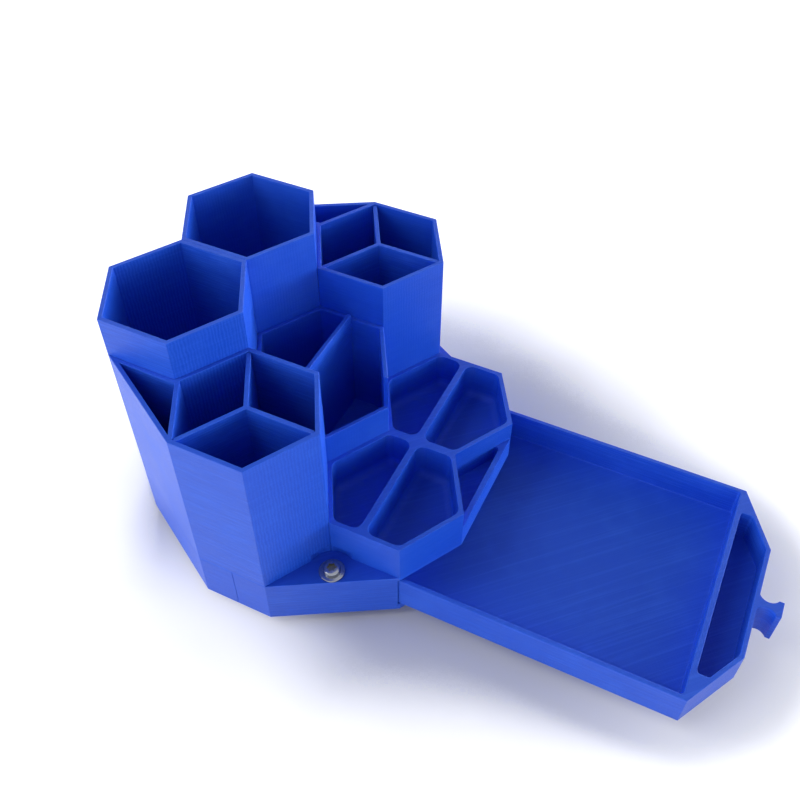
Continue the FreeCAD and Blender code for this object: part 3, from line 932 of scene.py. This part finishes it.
class ORGANISER_OT_screws(bpy.types.Operator):
    """Deck screws with a six-lobed recess, and their washers"""

    bl_idname = "organiser.screws"
    bl_label = "Deck Screws"

    def execute(self, context):
        settings = context.scene.organiser_screw
        steel = bpy.data.materials.get("Plated Steel")
        if steel is None:
            raise RuntimeError("make the base first")
        # The recess gets darker steel as painted shade.
        recess_shade = steel_material("Recess Steel Painted Shade", RECESS_SHADE_STEEL, 0.30, 2500.0)
        washer = self.washer(settings, steel)
        screw = self.screw(settings, steel, recess_shade)
        washers = []
        screws = []
        for number, place in enumerate(self.places(settings), 1):
            washers.append(copy_to(washer, f"deck_washer_{number}", place))
            screws.append(copy_to(screw, f"deck_screw_{number}", place))
        for pattern, copies, node in (
                (washer, washers, "deck_washers"), (screw, screws, "deck_screws")):
            bpy.data.objects.remove(pattern)
            for piece in copies:
                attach(piece, "organizer")
                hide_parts(node)
        return {"FINISHED"}

    def places(self, settings):
        """Centres of the deck screws on the deck."""
        for degrees in SCREW_ANGLES:
            angle = math.radians(degrees)
            across = settings.circle * math.cos(angle)
            along = settings.circle * math.sin(angle)
            yield across, along, settings.deck_level

    def washer(self, settings, steel):
        """Flat washer with rolled edges."""
        height = settings.washer_height
        piece = new_cylinder("washer_pattern", settings.washer_radius, height, height / 2.0)
        piece.data.materials.append(steel)
        bpy.ops.object.mode_set(mode="EDIT")
        select_faces(piece, lambda centre, normal: abs(normal.z) > 0.9)
        bpy.ops.mesh.inset(thickness=settings.washer_radius - WASHER_HOLE_RADIUS)
        select_faces(
            piece,
            lambda centre, normal: abs(normal.z) > 0.9 and centre.xy.length < NEAR_AXIS)
        bpy.ops.mesh.bridge_edge_loops()
        rim = settings.washer_radius - 5.0 * NEAR
        select_edges(
            piece,
            lambda a, b: min(a.xy.length, b.xy.length) > rim and abs(a.z - b.z) < NEAR)
        bpy.ops.mesh.bevel(offset=SMALL_EDGE, segments=3)
        bpy.ops.mesh.select_all(action="SELECT")
        bpy.ops.mesh.normals_make_consistent(inside=False)
        bpy.ops.object.mode_set(mode="OBJECT")
        make_active(piece)
        bpy.ops.object.shade_smooth_by_angle(angle=EDGE_ANGLE)
        return piece

    def screw(self, settings, steel, recess_shade):
        """Domed head with a recess, whose steel is painted darker as shade, on a plain shank."""
        seat = settings.washer_height
        height = settings.head_height
        top = seat + height
        piece = new_cylinder("screw_pattern", settings.head_radius, height, seat + height / 2.0)
        piece.data.materials.append(steel)
        piece.data.materials.append(recess_shade)
        bpy.ops.object.mode_set(mode="EDIT")
        select_edges(piece, lambda a, b: min(a.z, b.z) > top - NEAR)
        bpy.ops.mesh.bevel(offset=DOME_EDGE, segments=8, profile=0.6)
        select_edges(piece, lambda a, b: max(a.z, b.z) < seat + NEAR)
        bpy.ops.mesh.bevel(offset=SMALL_EDGE, segments=2)
        select_faces(
            piece,
            lambda centre, normal: normal.z < -0.9 and centre.xy.length < NEAR_AXIS)
        bpy.ops.mesh.inset(thickness=SHANK_STEP)
        bpy.ops.mesh.extrude_region_move(
            TRANSFORM_OT_translate={"value": (0.0, 0.0, -SHANK_LENGTH)})
        bpy.ops.object.mode_set(mode="OBJECT")
        cutter = self.recess(settings, top)
        cut = piece.modifiers.new("Recess", "BOOLEAN")
        cut.operation = "DIFFERENCE"
        cut.solver = "EXACT"
        cut.object = cutter
        make_active(piece)
        bpy.ops.object.modifier_apply(modifier="Recess")
        bpy.data.objects.remove(cutter)
        make_active(piece)
        bpy.ops.object.mode_set(mode="EDIT")
        select_faces(
            piece,
            lambda centre, normal: self.in_recess(settings, centre, normal, top))
        # The recess faces take the darker steel of the painted shade.
        piece.active_material_index = 1
        bpy.ops.object.material_slot_assign()
        bpy.ops.object.mode_set(mode="OBJECT")
        bpy.ops.object.shade_smooth_by_angle(angle=EDGE_ANGLE)
        return piece

    def in_recess(self, settings, centre, normal, top):
        """Whether a face of the head is a wall or the floor of the recess."""
        floor = top - settings.recess_depth
        if centre.xy.length > settings.recess_radius + 2.0 * NEAR or centre.z > top + NEAR:
            return False
        if abs(normal.z) > 0.5:
            return settings.washer_height < centre.z < floor + 10.0 * NEAR
        return centre.z > floor and centre.xy.dot(normal.xy) < 0.0

    def recess(self, settings, top):
        """Six-lobed cutter for the head."""
        depth = 2.0 * settings.recess_depth
        cutter = new_cylinder("recess_cutter", settings.recess_radius, depth, top, RECESS_SIDES)
        lobe = math.tau / RECESS_LOBES
        side = math.tau / RECESS_SIDES

        def off_lobe(place):
            angle = math.atan2(place.y, place.x)
            return abs(angle - round(angle / lobe) * lobe)

        bpy.ops.object.mode_set(mode="EDIT")
        for step in range(1, RECESS_SIDES // RECESS_LOBES // 2 + 1):
            turn = step * side
            shrink = RECESS_MEAN + RECESS_WAVE * math.cos(RECESS_LOBES * turn)
            select_vertices(cutter, lambda place: abs(off_lobe(place) - turn) < side / 4.0)
            bpy.ops.transform.resize(
                value=(shrink, shrink, 1.0), center_override=(0.0, 0.0, top))
        bpy.ops.object.mode_set(mode="OBJECT")
        return cutter


class ORGANISER_OT_stage(bpy.types.Operator):
    """Floor, lights, sky and camera"""

    bl_idname = "organiser.stage"
    bl_label = "Stage"

    def execute(self, context):
        settings = context.scene.organiser_stage
        self.floor(settings)
        self.sky(context, settings)
        self.lamp(context, settings)
        self.camera(context, settings)
        return {"FINISHED"}

    def floor(self, settings):
        """Plain pale floor that keeps the shadow, with a painted shadow and painted rings of light
        in its white glow, and is clear from below.
        """
        clear_selection()
        bpy.ops.mesh.primitive_plane_add(size=settings.floor_size, location=(0.0, 0.0, 0.0))
        floor = bpy.context.object
        floor.name = "stage_floor"
        material, tree, shader = new_material("Stage Floor")
        shader.inputs["Base Color"].default_value = FLOOR_COLOUR
        shader.inputs["Roughness"].default_value = 0.9
        shader.inputs["Specular IOR Level"].default_value = 0.0
        shader.inputs["Emission Color"].default_value = WHITE
        # The white glow carries a painted shadow round the organiser and painted rings of light.
        glow = multiply(
            tree, self.painted_shadow_and_light(tree, settings), seen_rays(tree), settings.floor_glow)
        link(tree, glow, shader.inputs["Emission Strength"])
        under = tree.nodes.new("ShaderNodeNewGeometry").outputs["Backfacing"]
        clear = tree.nodes.new("ShaderNodeBsdfTransparent")
        either = tree.nodes.new("ShaderNodeMixShader")
        link(tree, under, either.inputs[0])
        link(tree, shader.outputs["BSDF"], either.inputs[1])
        link(tree, clear.outputs["BSDF"], either.inputs[2])
        link(tree, either.outputs["Shader"], tree.nodes["Material Output"].inputs["Surface"])
        floor.data.materials.append(material)

    def painted_shadow_and_light(self, tree, settings):
        """Mask of the floor's white glow: shut off where the organiser stands near, as a painted
        shadow, and raised again in painted rings of light.
        """
        openness = tree.nodes.new("ShaderNodeAmbientOcclusion")
        openness.samples = 32
        openness.inputs["Distance"].default_value = settings.shadow_reach
        lean = tree.nodes.new("ShaderNodeCombineXYZ")
        for index, value in enumerate(SHADOW_LEAN):
            lean.inputs[index].default_value = value
        link(tree, lean.outputs["Vector"], openness.inputs["Normal"])
        mask = smooth_step(tree, openness.outputs["AO"], *PAINTED_SHADOW_RANGE)
        place = tree.nodes.new("ShaderNodeTexCoord").outputs["Object"]
        # Painted rings of light: the halo round the axis and the pool beside the organiser.
        for centre, (start, full, share) in (
                ((0.0, 0.0, 0.0), PAINTED_LIGHT_HALO),
                (settings.painted_light_pool_place, PAINTED_LIGHT_POOL)):
            near = smooth_step(tree, distance_to(tree, place, centre), start, full)
            mask = math_node(tree, "MAXIMUM", mask, multiply(tree, near, share))
        return mask

    def sky(self, context, settings):
        """Sky with a band of low light, white where the camera or a reflection sees it."""
        world = bpy.data.worlds.new("Stage Sky")
        context.scene.world = world
        world.use_nodes = True
        tree = world.node_tree
        background = tree.nodes["Background"]
        background.inputs["Color"].default_value = WHITE
        direction = tree.nodes.new("ShaderNodeTexCoord").outputs["Generated"]

        def lobe(side, power, gain):
            """Light that comes from one side."""
            share = math_node(tree, "MAXIMUM", dot(tree, direction, side), 0.0)
            return multiply(tree, math_node(tree, "POWER", share, power), gain)

        upward = math_node(tree, "ABSOLUTE", dot(tree, direction, UP))
        band = math_node(tree, "POWER", math_node(tree, "SUBTRACT", 1.0, upward), BAND_POWER)
        front = lobe(FRONT_SIDE, FRONT_POWER, settings.front_dip)
        bright = lobe(BRIGHT_SIDE, BRIGHT_POWER, BRIGHT_GAIN)
        share = add(tree, math_node(tree, "SUBTRACT", 1.0, front), bright)
        light = multiply(tree, band, share, settings.horizon - settings.sky)
        light = add(tree, light, settings.sky)
        seen = seen_rays(tree)
        unseen = math_node(tree, "SUBTRACT", 1.0, seen)
        strength = add(tree, multiply(tree, light, unseen), seen)
        link(tree, strength, background.inputs["Strength"])

    def lamp(self, context, settings):
        """Large soft light that comes over the organiser from behind."""
        data = bpy.data.lights.new("key_light", "SUN")
        data.energy = settings.key
        data.angle = settings.key_spread
        lamp = bpy.data.objects.new("key_light", data)
        context.scene.collection.objects.link(lamp)
        lamp.location = KEY_PLACE
        lamp.rotation_euler = (-Vector(KEY_PLACE)).to_track_quat("-Z", "Y").to_euler()

    def camera(self, context, settings):
        """Camera that looks down on the organiser from its left front."""
        data = bpy.data.cameras.new("stage_camera")
        data.sensor_width = 36.0
        data.lens = settings.lens
        data.clip_start = 0.01
        data.clip_end = 50.0
        camera = bpy.data.objects.new("stage_camera", data)
        context.scene.collection.objects.link(camera)
        camera.location = settings.camera_place
        aim = Vector(settings.camera_target) - Vector(settings.camera_place)
        camera.rotation_euler = aim.to_track_quat("-Z", "Y").to_euler()
        context.scene.camera = camera
        context.scene.view_settings.view_transform = "Standard"


OPERATORS = (
    ORGANISER_OT_cells,
    ORGANISER_OT_base,
    ORGANISER_OT_drawer,
    ORGANISER_OT_screws,
    ORGANISER_OT_stage,
)


class ORGANISER_PT_panel(bpy.types.Panel):
    """Panel with the settings and the buttons that finish the pieces"""

    bl_idname = "ORGANISER_PT_panel"
    bl_label = "Turning Desk Organiser"
    bl_space_type = "VIEW_3D"
    bl_region_type = "UI"
    bl_category = "Organiser"

    def draw(self, context):
        layout = self.layout
        scene = context.scene
        for group in (scene.organiser_print, scene.organiser_screw, scene.organiser_stage):
            box = layout.box()
            for name in group.bl_rna.properties.keys():
                if name not in {"rna_type", "name"}:
                    box.prop(group, name)
        for operator in OPERATORS:
            layout.operator(operator.bl_idname)


CLASSES = (
    OrganiserPrintSettings,
    OrganiserScrewSettings,
    OrganiserStageSettings,
    *OPERATORS,
    ORGANISER_PT_panel,
)


def register():
    """Register the classes and the settings."""
    for item in CLASSES:
        bpy.utils.register_class(item)
    bpy.types.Scene.organiser_print = PointerProperty(type=OrganiserPrintSettings)
    bpy.types.Scene.organiser_screw = PointerProperty(type=OrganiserScrewSettings)
    bpy.types.Scene.organiser_stage = PointerProperty(type=OrganiserStageSettings)


def unregister():
    """Remove the settings and the classes."""
    del bpy.types.Scene.organiser_stage
    del bpy.types.Scene.organiser_screw
    del bpy.types.Scene.organiser_print
    for item in reversed(CLASSES):
        bpy.utils.unregister_class(item)


def main():
    """Dress the organiser and set the stage."""
    register()
    bpy.ops.organiser.cells()
    bpy.ops.organiser.base()
    bpy.ops.organiser.drawer()
    bpy.ops.organiser.screws()
    bpy.ops.organiser.stage()


if __name__ == "__main__":
    main()
